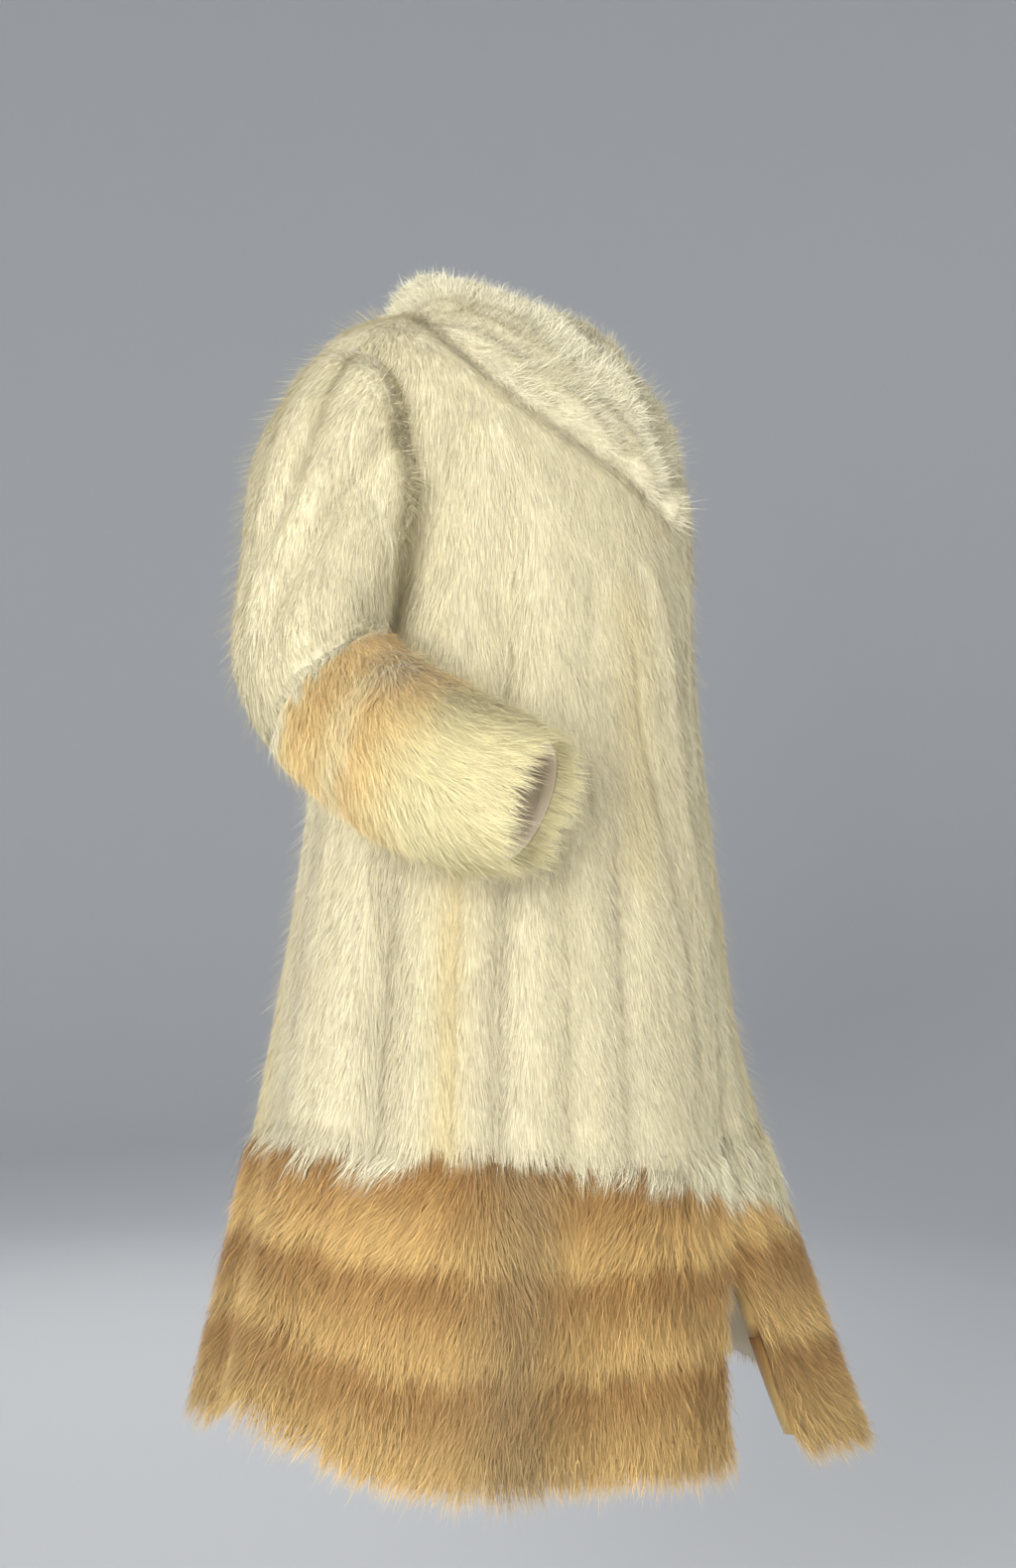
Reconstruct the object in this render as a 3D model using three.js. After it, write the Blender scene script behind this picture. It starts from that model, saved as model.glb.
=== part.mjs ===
// A knee-length fur coat, hollow and standing as it does when it is worn: the right sleeve is bent
// across the front, the left one hangs, and the fronts lap at the chest and part at the hem.
// Millimetres, +Z up. The wearer faces -Y and the wearer's left is +X. The origin is in the middle
// of the shoulders, level with the nape, where the wearer carries the coat.
// Each piece is a wall: the leather, with the height of its hair outside it.
import * as THREE from "three";

// Driving dimensions
const seamGap = 0.5; // between two pieces that are sewn together
const leather = 2.5; // behind the hair
const bodyPile = 12; // height of the cream hair on fronts and backs
const bandPile = 14; // height of the tan hair round the hem
const bandPuff = 4; // how much higher it stands in the middle of a band
const sleevePile = 11;
const sleeveBandPile = 13;
const collarPile = 16;
const hemOverhang = 15; // how far the hair hangs below the leather of the hem
const cuffOverhang = 11;
const lapDepth = 24; // how far the left front sinks behind the right one
const lapFade = 52; // how far from the right edge the left front is level again

// Heights round the coat, measured in mm up the side from the hem
const bandTops = [80, 160, 240]; // the seams of the three hem bands
const armpitUp = 720;
const shoulderUp = 875;
const neckUp = 990;
const armholeFore = 14; // degrees ahead of the side seam
const armholeAft = 30; // degrees behind it
const armholePoint = 1.6; // 1 makes an armhole an ellipse, more makes it pointed at top and bottom
const rowLean = 1.6; // how much lower the rows of a front run in the middle than at its side

// How finely the pieces are divided
const frontColumns = 20;
const backColumns = 34;
const bandRows = 3;
const skirtRows = 11;
const armholeRows = 8;
const shoulderRows = 4;
const ringSpacing = 21;

const cream = 0xe6dfc8;
const tan = 0xbf9056;

// Rings round the body from the hem to the neck seam: heights at the front, side and back, half
// widths to the right and left, depths to the front and back, and how far back the sides lie (lag)
const bodyRings = [
  { up: -15, zFront: -941, zSide: -922, zBack: -946, right: 256, left: 276, front: 218, back: 238, lag: 0 },
  { up: 0, zFront: -927, zSide: -908, zBack: -932, right: 254, left: 273, front: 216, back: 235, lag: 0 },
  { up: 80, zFront: -848, zSide: -831, zBack: -852, right: 244, left: 260, front: 209, back: 218, lag: 0 },
  { up: 160, zFront: -768, zSide: -753, zBack: -772, right: 233, left: 246, front: 202, back: 201, lag: 1 },
  { up: 240, zFront: -689, zSide: -677, zBack: -693, right: 222, left: 232, front: 195, back: 186, lag: 2 },
  { up: 380, zFront: -553, zSide: -541, zBack: -555, right: 202, left: 208, front: 182, back: 162, lag: 3 },
  { up: 494, zFront: -442, zSide: -431, zBack: -442, right: 184, left: 188, front: 171, back: 143, lag: 5 },
  { up: 588, zFront: -352, zSide: -339, zBack: -344, right: 171, left: 173, front: 163, back: 129, lag: 8 },
  { up: 664, zFront: -290, zSide: -267, zBack: -267, right: 164, left: 165, front: 160, back: 121, lag: 11 },
  { up: 720, zFront: -251, zSide: -212, zBack: -208, right: 165, left: 165, front: 159, back: 118, lag: 14 },
  { up: 780, zFront: -221, zSide: -150, zBack: -145, right: 175, left: 175, front: 157, back: 117, lag: 17 },
  { up: 830, zFront: -201, zSide: -93, zBack: -93, right: 181, left: 181, front: 155, back: 114, lag: 20 },
  { up: 875, zFront: -187, zSide: -46, zBack: -44, right: 179, left: 179, front: 153, back: 108, lag: 22 },
  { up: 915, zFront: -178, zSide: -25, zBack: -21, right: 153, left: 153, front: 151, back: 103, lag: 17 },
  { up: 955, zFront: -171, zSide: -11, zBack: -3, right: 112, left: 112, front: 149, back: 94, lag: 11 },
  { up: 990, zFront: -165, zSide: -1, zBack: 6, right: 78, left: 78, front: 147, back: 83, lag: 6 },
];

// The free edges of the fronts: the x of each, and how much of the neckline's fall to it is straight
const frontEdges = [
  { up: -15, rightEdge: -24, leftEdge: 82, vee: 0 },
  { up: 0, rightEdge: -22, leftEdge: 76, vee: 0 },
  { up: 80, rightEdge: -14, leftEdge: 48, vee: 0 },
  { up: 160, rightEdge: -4, leftEdge: 20, vee: 0 },
  { up: 240, rightEdge: 6, leftEdge: -5, vee: 0 },
  { up: 380, rightEdge: 18, leftEdge: -24, vee: 0 },
  { up: 494, rightEdge: 24, leftEdge: -28, vee: 0 },
  { up: 588, rightEdge: 26, leftEdge: -28, vee: 0 },
  { up: 664, rightEdge: 27, leftEdge: -28, vee: 0 },
  { up: 720, rightEdge: 28, leftEdge: -28, vee: 0 },
  { up: 780, rightEdge: 28, leftEdge: -28, vee: 0.05 },
  { up: 830, rightEdge: 28, leftEdge: -28, vee: 0.12 },
  { up: 875, rightEdge: 27, leftEdge: -28, vee: 0.22 },
  { up: 915, rightEdge: 26, leftEdge: -27, vee: 0.34 },
  { up: 955, rightEdge: 24, leftEdge: -25, vee: 0.44 },
  { up: 990, rightEdge: 22, leftEdge: -23, vee: 0.5 },
];

// Soft flutes in the skirt: angle from the front in degrees, negative on the wearer's right, how
// wide and how deep it is at the hem, outward or inward, how far it lets the hem drop, and the height
// at which it has died out
const flutes = [
  { angle: -160, spread: 17, depth: 22, drop: 0, top: 600 },
  { angle: -131, spread: 15, depth: -34, drop: 0, top: 570 },
  { angle: -113, spread: 24, depth: 10, drop: -44, top: 300 },
  { angle: -104, spread: 13, depth: 8, drop: 0, top: 530 },
  { angle: -80, spread: 9, depth: -8, drop: 0, top: 490 },
  { angle: -58, spread: 10, depth: 9, drop: 0, top: 530 },
  { angle: -42, spread: 26, depth: 0, drop: -9, top: 300 },
  { angle: -37, spread: 8, depth: -9, drop: 0, top: 570 },
  { angle: -18, spread: 9, depth: 6, drop: 0, top: 490 },
  { angle: 40, spread: 22, depth: 88, drop: 52, top: 350 },
  { angle: 84, spread: 13, depth: -16, drop: 0, top: 530 },
  { angle: 112, spread: 14, depth: 14, drop: 0, top: 570 },
  { angle: 140, spread: 13, depth: -20, drop: 0, top: 550 },
  { angle: 172, spread: 13, depth: 10, drop: 0, top: 590 },
];

// Soft folds in the chest and back: middle (angle, up), reach each way in degrees and in mm, how
// many degrees the fold leans over for each mm up, and depth
const drapes = [
  { angle: -57, up: 655, spread: 7, length: 110, lean: 0.03, depth: -6 },
  { angle: -44, up: 685, spread: 6, length: 120, lean: 0.02, depth: 4 },
  { angle: 52, up: 665, spread: 8, length: 110, lean: -0.02, depth: -5 },
  { angle: 140, up: 700, spread: 10, length: 120, lean: 0, depth: -5 },
  { angle: -142, up: 690, spread: 9, length: 110, lean: 0, depth: -5 },
];

// Rings down each sleeve: length from the armhole, centre (distance out from the middle, y, z),
// radii away from the body, towards it, to the front and to the back, and how far the ring's
// outward side is turned up, in degrees
const bentSleeve = [
  { along: 38, out: 199, y: 27, z: -143, away: 86, near: 84, fore: 60, aft: 62, lift: 81 },
  { along: 70, out: 215, y: 33, z: -174, away: 82, near: 84, fore: 57, aft: 59, lift: 72 },
  { along: 108, out: 227, y: 34, z: -211, away: 72, near: 76, fore: 53, aft: 54, lift: 60 },
  { along: 148, out: 237, y: 33, z: -252, away: 58, near: 59, fore: 50, aft: 50, lift: 42 },
  { along: 192, out: 247, y: 24, z: -292, away: 50, near: 50, fore: 50, aft: 52, lift: 16 },
  { along: 236, out: 254, y: 0, z: -321, away: 50, near: 47, fore: 51, aft: 54, lift: 0 },
  { along: 286, out: 256, y: -38, z: -345, away: 54, near: 47, fore: 51, aft: 56, lift: 0 },
  { along: 338, out: 252, y: -78, z: -369, away: 56, near: 47, fore: 52, aft: 58, lift: 0 },
  { along: 392, out: 242, y: -117, z: -388, away: 52, near: 45, fore: 50, aft: 55, lift: 0 },
  { along: 443, out: 230, y: -154, z: -402, away: 43, near: 40, fore: 45, aft: 46, lift: 0 },
];
const hangingSleeve = [
  { along: 38, out: 201, y: 27, z: -142, away: 86, near: 83, fore: 60, aft: 61, lift: 80 },
  { along: 70, out: 218, y: 31, z: -173, away: 83, near: 83, fore: 58, aft: 60, lift: 70 },
  { along: 108, out: 230, y: 32, z: -212, away: 76, near: 76, fore: 55, aft: 56, lift: 60 },
  { along: 148, out: 240, y: 32, z: -257, away: 62, near: 60, fore: 52, aft: 53, lift: 40 },
  { along: 195, out: 247, y: 29, z: -308, away: 52, near: 50, fore: 50, aft: 53, lift: 16 },
  { along: 250, out: 255, y: 21, z: -364, away: 51, near: 47, fore: 51, aft: 54, lift: 2 },
  { along: 320, out: 265, y: 8, z: -433, away: 54, near: 47, fore: 55, aft: 56, lift: 0 },
  { along: 385, out: 275, y: -7, z: -496, away: 53, near: 46, fore: 54, aft: 55, lift: 0 },
  { along: 443, out: 284, y: -23, z: -552, away: 43, near: 41, fore: 44, aft: 44, lift: 0 },
];

// The rings of fur towards each cuff, by where they end along the sleeve
const sleeveRings = [
  { name: "sleeve", end: 237, pile: sleevePile, colour: cream },
  { name: "sleeve_tan_upper", end: 288, pile: sleeveBandPile, colour: tan },
  { name: "sleeve_stripe", end: 310, pile: sleeveBandPile, colour: cream },
  { name: "sleeve_tan_lower", end: 362, pile: sleeveBandPile, colour: tan },
  { name: "cuff", end: 443, pile: sleeveBandPile, colour: cream },
];

// Folds of a sleeve: middle (along, degrees round from the outside towards the front), reach each
// way, how many degrees it turns round the sleeve for each mm along, and depth
const bentFolds = [
  { along: 80, around: 14, length: 70, width: 16, turn: -0.1, depth: -5 },
  { along: 105, around: 49, length: 65, width: 15, turn: -0.5, depth: -7 },
  { along: 205, around: 70, length: 45, width: 22, turn: 0.3, depth: 6 },
  { along: 226, around: 95, length: 14, width: 38, turn: 0, depth: -11 },
  { along: 250, around: 88, length: 12, width: 30, turn: 0, depth: 6 },
  { along: 150, around: 300, length: 60, width: 20, turn: -0.3, depth: -5 },
];
const hangingFolds = [
  { along: 150, around: 60, length: 60, width: 22, turn: 0.3, depth: -6 },
  { along: 235, around: 90, length: 18, width: 40, turn: 0, depth: -6 },
  { along: 190, around: 290, length: 60, width: 24, turn: -0.3, depth: -5 },
];

// The collar from the neck seam to its free edge: distance inwards and height above the fur side
const collarProfile = [
  { inward: 0, proud: 0 },
  { inward: 13, proud: 5 },
  { inward: 26, proud: 6 },
  { inward: 38, proud: 2 },
];

const collarEnd = 0.3; // its width at the front ends, as a share of the whole
const collarThin = 10; // how much lower its hair is there

const degrees = Math.PI / 180;
const clamp = (value) => Math.min(1, Math.max(0, value));
const ease = (value) => clamp(value) ** 2 * (3 - 2 * clamp(value));
const bell = (distance, reach) => Math.exp(-((distance / reach) ** 2));

// One column of a table at a place between its rows, along a smooth curve through the rows
function read(table, key, column, at) {
  let i = 0;
  while (i < table.length - 2 && at > table[i + 1][key]) i += 1;
  const slopeAt = (j) => {
    const before = table[Math.max(0, j - 1)];
    const after = table[Math.min(table.length - 1, j + 1)];
    return (after[column] - before[column]) / (after[key] - before[key]);
  };
  const step = table[i + 1][key] - table[i][key];
  const t = (at - table[i][key]) / step;
  const start = table[i][column];
  const end = table[i + 1][column];
  const bend = slopeAt(i) * step * (1 - t) + slopeAt(i + 1) * step * -t;
  return start + (end - start) * t * t * (3 - 2 * t) + bend * t * (1 - t);
}

// The sine of the angle at which a free front edge stands: hand is 1 for the left and -1 for the right
function edgeSine(hand, up) {
  const x = read(frontEdges, "up", hand > 0 ? "leftEdge" : "rightEdge", up);
  return x / read(bodyRings, "up", x > 0 ? "left" : "right", up);
}

// A point of the leather of the body, of the left front (1), the right front (-1) or the back (0).
// The front of the wearer is at angle 0 and the wearer's left at 90.
function bodyPoint(angle, up, hand) {
  const turned = ((((angle + 180) % 360) + 360) % 360) - 180;
  const side = Math.sin(turned * degrees);
  const ahead = Math.cos(turned * degrees);
  const at = (column) => read(bodyRings, "up", column, up);
  const edge = hand ? edgeSine(hand, up) : 0;
  const straight = hand ? read(frontEdges, "up", "vee", up) : 0;
  const fall =
    (1 - straight) * ahead * ahead +
    straight * (1 - Math.abs(side - edge) / (1 + Math.abs(edge)));
  const point = new THREE.Vector3(
    side * (side > 0 ? at("left") : at("right")),
    at("lag") * side * side - ahead * (ahead > 0 ? at("front") : at("back")),
    at("zSide") + (at(ahead > 0 ? "zFront" : "zBack") - at("zSide")) * fall,
  );
  const outward = new THREE.Vector3(side, -ahead, 0);
  const apart = (middle) => ((((turned - middle + 180) % 360) + 360) % 360) - 180;
  for (const fold of flutes) {
    const share = clamp(1 - up / fold.top) ** 1.4 * bell(apart(fold.angle), fold.spread);
    point.addScaledVector(outward, fold.depth * share);
    point.z -= fold.drop * share;
  }
  for (const fold of drapes) {
    const middle = fold.angle + fold.lean * (up - fold.up);
    const reach = bell(apart(middle), fold.spread) * bell(up - fold.up, fold.length);
    point.addScaledVector(outward, fold.depth * reach);
  }
  return point;
}

// How far behind the right front a point of the left front lies, as a share of the whole depth
function lapShare(x, up) {
  return 1 - ease((x - read(frontEdges, "up", "rightEdge", up) - 6) / (lapFade - 6));
}

// The heights of the rows of a panel at its middle and where it meets the armhole
const upperRows = [];
const leaning = (up) => {
  const height = neckUp - bandTops[2];
  return bandTops[2] + height * ((up - bandTops[2]) / height) ** rowLean;
};
for (let i = 0; i <= skirtRows; i += 1) {
  const up = bandTops[2] + ((armpitUp - bandTops[2]) * i) / skirtRows;
  upperRows.push({ middle: leaning(up), side: up, turn: 0 });
}
for (let i = 1; i <= armholeRows; i += 1) {
  const turn = (Math.PI * i) / armholeRows;
  const even = armpitUp + ((shoulderUp - armpitUp) * i) / armholeRows;
  const side = (armpitUp + shoulderUp) / 2 - ((shoulderUp - armpitUp) / 2) * Math.cos(turn);
  upperRows.push({ middle: leaning(even), side, turn });
}
for (let i = 1; i <= shoulderRows; i += 1) {
  const up = shoulderUp + ((neckUp - shoulderUp) * i) / shoulderRows;
  upperRows.push({ middle: leaning(up), side: up, turn: 0 });
}
const bandRowsFrom = (bottom, top) => {
  const rows = [];
  for (let i = 0; i <= bandRows; i += 1) {
    const up = bottom + ((top - bottom) * i) / bandRows;
    rows.push({ middle: up, side: up, turn: 0 });
  }
  return rows;
};

// How far an armhole's edge lies from the side seam, as a share of its widest, and on which side
const bow = (turn) => Math.sign(Math.sin(turn)) * Math.abs(Math.sin(turn)) ** armholePoint;

// The leather of a front: from its free edge to the side seam, cut back round the armhole
function frontGrid(rows, isLeft) {
  return rows.map((row) => {
    const points = [];
    const hand = isLeft ? 1 : -1;
    const open = Math.asin(edgeSine(hand, row.middle)) / degrees;
    const cut = 90 - armholeFore * bow(row.turn);
    const side = hand * cut;
    for (let c = 0; c <= frontColumns; c += 1) {
      const share = c / frontColumns;
      const angle = open + (side - open) * share;
      const up = row.middle + (row.side - row.middle) * ease(share);
      const point = bodyPoint(angle, up, hand);
      if (isLeft) {
        const inward = new THREE.Vector3(-Math.sin(angle * degrees), Math.cos(angle * degrees), 0);
        point.addScaledVector(inward, lapDepth * lapShare(point.x, up));
      }
      points.push(point);
    }
    return points;
  });
}

// The leather of the back, from the right side seam to the left one
function backGrid(rows) {
  return rows.map((row) => {
    const points = [];
    const half = 90 - armholeAft * bow(row.turn);
    for (let c = 0; c <= backColumns; c += 1) {
      const share = (2 * c) / backColumns - 1;
      const up = row.middle + (row.side - row.middle) * ease(Math.abs(share));
      points.push(bodyPoint(180 + half * share, up, 0));
    }
    return points.reverse();
  });
}

// The points round an armhole, from the shoulder down the front and up the back
function armholeLoop(side) {
  const points = [];
  for (let i = 0; i < 2 * armholeRows; i += 1) {
    const turn = (Math.PI * i) / armholeRows;
    const up = (armpitUp + shoulderUp) / 2 + ((shoulderUp - armpitUp) / 2) * Math.cos(turn);
    const isFore = i <= armholeRows;
    const reach = isFore ? armholeFore : armholeAft;
    points.push(bodyPoint(side * (90 - reach * bow(turn)), up, isFore ? side : 0));
  }
  return points;
}

// A ring of leather round a sleeve, square to the way that the sleeve runs except for its lift
function sleeveLoop(table, folds, side, along) {
  const at = (column, place) => read(table, "along", column, place);
  const centreAt = (place) =>
    new THREE.Vector3(side * at("out", place), at("y", place), at("z", place));
  const first = table[0].along;
  const last = table[table.length - 1].along;
  const run = centreAt(Math.min(last, along + 6)).sub(centreAt(Math.max(first, along - 6)));
  const lift = at("lift", along) * degrees;
  const away = new THREE.Vector3(side * Math.cos(lift), 0, Math.sin(lift));
  const fore = new THREE.Vector3().crossVectors(run, away).multiplyScalar(side).normalize();
  const points = [];
  for (let i = 0; i < 2 * armholeRows; i += 1) {
    const around = (180 * i) / armholeRows;
    const across = Math.cos(around * degrees);
    const ahead = Math.sin(around * degrees);
    let swell = 0;
    for (const fold of folds) {
      const middle = fold.around + fold.turn * (along - fold.along);
      const apart = ((((around - middle + 180) % 360) + 360) % 360) - 180;
      swell += fold.depth * bell(apart, fold.width) * bell(along - fold.along, fold.length);
    }
    const point = centreAt(along);
    point.addScaledVector(away, across * ((across > 0 ? at("away", along) : at("near", along)) + swell));
    point.addScaledVector(fore, ahead * ((ahead > 0 ? at("fore", along) : at("aft", along)) + swell));
    points.push(point);
  }
  return points;
}

// The hair is pressed flat in the crease round each arm and in the crook of the bent elbow: the
// share of its height that is left
const armCreases = [...armholeLoop(-1), ...armholeLoop(1)];
const shoulders = [armCreases[0], armCreases[2 * armholeRows]];
const crook = sleeveLoop(bentSleeve, bentFolds, -1, 226).slice(2, 7);
function pressed(point) {
  const toArm = Math.min(...armCreases.map((place) => place.distanceTo(point)));
  const toCrook = Math.min(...crook.map((place) => place.distanceTo(point)));
  const toShoulder = Math.min(...shoulders.map((place) => place.distanceTo(point)));
  const underArm = (1 - ease(toArm / 40)) * (0.12 + 0.75 * ease(toShoulder / 42));
  return 1 - Math.max(underArm, 0.6 * (1 - ease(toCrook / 36)));
}

// The pieces: leather as rows of points, the height of the hair at each point, and which piece of
// the garment its seams turn a corner against
const pieces = [];
function addPanels(name, rows, pile, colour, hang) {
  const common = { group: "body", pile, colour, hang };
  pieces.push({ name: `right_${name}`, rows: frontGrid(rows, false), ...common });
  pieces.push({ name: name === "front" ? "back" : `back_${name}`, rows: backGrid(rows), ...common });
  pieces.push({ name: `left_${name}`, rows: frontGrid(rows, true), ...common });
}
const puff = (r, c, point) =>
  bandPile + bandPuff * (Math.sin((Math.PI * r) / bandRows) - lapShare(point.x, 0.5 * bandTops[2]));
const even = (r, c, point) => bodyPile * pressed(point);
addPanels("hem_lower", bandRowsFrom(0, bandTops[0]), puff, tan, { first: hemOverhang });
addPanels("hem_middle", bandRowsFrom(bandTops[0], bandTops[1]), puff, tan, {});
addPanels("hem_upper", bandRowsFrom(bandTops[1], bandTops[2]), puff, tan, {});
addPanels("front", upperRows, even, cream, {});

// Both sleeves, each from its armhole down
const wayDown = { right: [bentSleeve, bentFolds, -1], left: [hangingSleeve, hangingFolds, 1] };
for (const hand of ["right", "left"]) {
  const [table, folds, side] = wayDown[hand];
  let start = table[0].along;
  sleeveRings.forEach((ring, index) => {
    const count = Math.max(1, Math.round((ring.end - start) / ringSpacing));
    const rows = index === 0 ? [armholeLoop(side)] : [];
    for (let i = 0; i <= count; i += 1) {
      rows.push(sleeveLoop(table, folds, side, start + ((ring.end - start) * i) / count));
    }
    pieces.push({
      name: `${hand}_${ring.name}`,
      rows,
      group: `${hand} sleeve`,
      pile: (r, c, point) => ring.pile * pressed(point),
      colour: ring.colour,
      hang: ring.name === "cuff" ? { last: cuffOverhang } : {},
      closed: true,
    });
    start = ring.end;
  });
}

// The collar, sewn to the neck seam. It stands up at the nape and lies down in front, where it
// narrows and its hair is lower.
const panelRows = (name) => pieces.find((piece) => piece.name === name).rows;
const neckRow = (fromTop) => {
  const [right, back, left] = ["right_front", "back", "left_front"].map((name) => {
    const rows = panelRows(name);
    return rows[rows.length - fromTop];
  });
  return [...right, ...back.slice(1), ...left.slice(0, -1).reverse()];
};
const seam = neckRow(1);
const below = neckRow(2);
const ends = [seam[0], seam[seam.length - 1]];
const fullness = (point) => ease(Math.min(...ends.map((end) => end.distanceTo(point))) / 95);
const collarRows = collarProfile.map((station) =>
  seam.map((point, c) => {
    const width = collarEnd + (1 - collarEnd) * fullness(point);
    const next = seam[Math.min(seam.length - 1, c + 1)].clone();
    const tangent = next.sub(seam[Math.max(0, c - 1)]).normalize();
    const onward = point.clone().sub(below[c]);
    onward.addScaledVector(tangent, -onward.dot(tangent)).normalize();
    onward.z += 0.95 * ease((point.y + 60) / 130);
    onward.normalize();
    const proud = new THREE.Vector3().crossVectors(onward, tangent).normalize();
    if (proud.x * point.x + proud.y * point.y < 0) proud.negate();
    return point
      .clone()
      .addScaledVector(onward, station.inward * width)
      .addScaledVector(proud, station.proud * width);
  }),
);
const collarParts = [
  { name: "collar_right", from: 1, to: frontColumns },
  { name: "collar_back", from: frontColumns, to: frontColumns + backColumns },
  { name: "collar_left", from: frontColumns + backColumns, to: seam.length - 3 },
];
for (const { name, from, to } of collarParts) {
  const rows = collarRows.map((row) => row.slice(from, to + 1));
  const pile = (r, c) => collarPile - collarThin * (1 - fullness(seam[from + c]));
  pieces.push({ name, rows, group: "collar", pile, colour: cream, hang: {} });
}

// The direction in which the wall stands at each point: square to the leather, and halfway between
// the two sides where a seam turns a corner
const keyOf = (point) => [point.x, point.y, point.z].map((value) => value.toFixed(2)).join(" ");
const normals = new Map();
for (const piece of pieces) {
  const { rows, closed } = piece;
  const count = rows[0].length;
  piece.faces = [];
  for (let r = 0; r < rows.length - 1; r += 1) {
    for (let c = 0; c < (closed ? count : count - 1); c += 1) {
      const d = (c + 1) % count;
      const corners = [rows[r][c], rows[r][d], rows[r + 1][d], rows[r + 1][c]];
      const across = corners[2].clone().sub(corners[0]);
      const facing = across.cross(corners[3].clone().sub(corners[1])).normalize();
      const middle = corners.reduce((sum, p) => sum.add(p), new THREE.Vector3()).divideScalar(4);
      piece.faces.push({ corners, facing, middle });
    }
  }
  // The axis that the piece goes round tells which of its two sides is the outside
  let outwards = 0;
  for (const face of piece.faces) {
    const axis = new THREE.Vector3(0, 0, face.middle.z);
    if (closed) {
      const ring = rows[Math.min(rows.length - 1, Math.floor(piece.faces.indexOf(face) / count))];
      axis.set(0, 0, 0);
      ring.forEach((p) => axis.add(p));
      axis.divideScalar(count);
    }
    outwards += face.facing.dot(face.middle.clone().sub(axis));
  }
  piece.flipped = outwards < 0;
  for (const face of piece.faces) {
    if (piece.flipped) face.facing.negate();
    for (const corner of face.corners) {
      const key = keyOf(corner);
      if (!normals.has(key)) normals.set(key, new Map());
      const groups = normals.get(key);
      if (!groups.has(piece.group)) groups.set(piece.group, new THREE.Vector3());
      groups.get(piece.group).add(face.facing);
    }
  }
}
function standing(point) {
  const groups = [...normals.get(keyOf(point)).values()].map((sum) => sum.clone().normalize());
  const sum = groups.reduce((total, facing) => total.add(facing), new THREE.Vector3()).normalize();
  const stretch = 1 / Math.max(0.45, sum.dot(groups[0]));
  return { direction: sum, stretch };
}

// Whether a cut edge is folded from the hair side of its first point: both pieces of a seam fold the
// edge between the same two points the same way, so that they lie flat against each other
function foldsFromFirst(first, second) {
  if (keyOf(first) > keyOf(second)) return !foldsFromFirst(second, first);
  const tip = (point, height) => point.clone().addScaledVector(standing(point).direction, height);
  return tip(first, 10).distanceTo(tip(second, -10)) <= tip(second, 10).distanceTo(tip(first, -10));
}

// A piece as one closed wall: the hair side, the leather side, and the cut edges between them
function wallOf(piece) {
  const { rows, closed, hang } = piece;
  const count = rows[0].length;
  const lastRow = rows.length - 1;
  const positions = [];
  const spot = (r, c, isInner) => (isInner ? rows.length * count : 0) + r * count + (c % count);
  const outer = [];
  const inner = [];
  rows.forEach((row, r) =>
    row.forEach((point, c) => {
      const { direction, stretch } = standing(point);
      const shift = new THREE.Vector3();
      const trim = (before, after, inside) => {
        const side = new THREE.Vector3().crossVectors(direction, after.clone().sub(before)).normalize();
        if (side.dot(inside.clone().sub(point)) < 0) side.negate();
        shift.addScaledVector(side, seamGap / 2);
      };
      if (r === 0 || r === lastRow) {
        const before = closed ? row[(c + count - 1) % count] : row[Math.max(0, c - 1)];
        const after = closed ? row[(c + 1) % count] : row[Math.min(count - 1, c + 1)];
        trim(before, after, rows[r === 0 ? 1 : lastRow - 1][c]);
      }
      if (!closed && (c === 0 || c === count - 1)) {
        const before = rows[Math.max(0, r - 1)][c];
        const after = rows[Math.min(lastRow, r + 1)][c];
        trim(before, after, row[c === 0 ? 1 : count - 2]);
      }
      const base = point.clone().add(shift);
      const fur = base.clone().addScaledVector(direction, piece.pile(r, c, point) * stretch);
      if (r === 0 && hang.first) {
        fur.addScaledVector(point.clone().sub(rows[1][c]).normalize(), hang.first);
      }
      if (r === lastRow && hang.last) {
        fur.addScaledVector(point.clone().sub(rows[lastRow - 1][c]).normalize(), hang.last);
      }
      outer.push(fur);
      inner.push(base.clone().addScaledVector(direction, -leather * stretch));
    }),
  );
  for (const point of [...outer, ...inner]) positions.push(point.x, point.y, point.z);
  const index = [];
  const quad = (a, b, c, d) => index.push(a, b, c, a, c, d);
  for (let r = 0; r < lastRow; r += 1) {
    for (let c = 0; c < (closed ? count : count - 1); c += 1) {
      quad(spot(r, c), spot(r, c + 1), spot(r + 1, c + 1), spot(r + 1, c));
      quad(spot(r + 1, c, true), spot(r + 1, c + 1, true), spot(r, c + 1, true), spot(r, c, true));
    }
  }
  // A strip of a cut edge from one place to the next, with the hair side first
  const edgeStrip = (from, to) => {
    const [a, b] = [spot(...from), spot(...to)];
    const [d, e] = [spot(...from, true), spot(...to, true)];
    if (foldsFromFirst(rows[from[0]][from[1] % count], rows[to[0]][to[1] % count])) {
      index.push(a, b, e, a, e, d);
    } else {
      index.push(a, b, d, b, e, d);
    }
  };
  for (let c = 0; c < (closed ? count : count - 1); c += 1) {
    edgeStrip([0, c + 1], [0, c]);
    edgeStrip([lastRow, c], [lastRow, c + 1]);
  }
  if (!closed) {
    for (let r = 0; r < lastRow; r += 1) {
      edgeStrip([r, 0], [r + 1, 0]);
      edgeStrip([r + 1, count - 1], [r, count - 1]);
    }
  }
  if (piece.flipped) {
    for (let i = 0; i < index.length; i += 3) [index[i + 1], index[i + 2]] = [index[i + 2], index[i + 1]];
  }
  const geometry = new THREE.BufferGeometry();
  geometry.setAttribute("position", new THREE.Float32BufferAttribute(positions, 3));
  geometry.setIndex(index);
  geometry.computeVertexNormals();
  return geometry;
}

const coat = new THREE.Group();
coat.name = "fur_coat";
for (const piece of pieces) {
  const material = new THREE.MeshStandardMaterial({ color: piece.colour, roughness: 0.95, metalness: 0 });
  const mesh = new THREE.Mesh(wallOf(piece), material);
  mesh.name = piece.name;
  coat.add(mesh);
}
export default coat;
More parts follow.
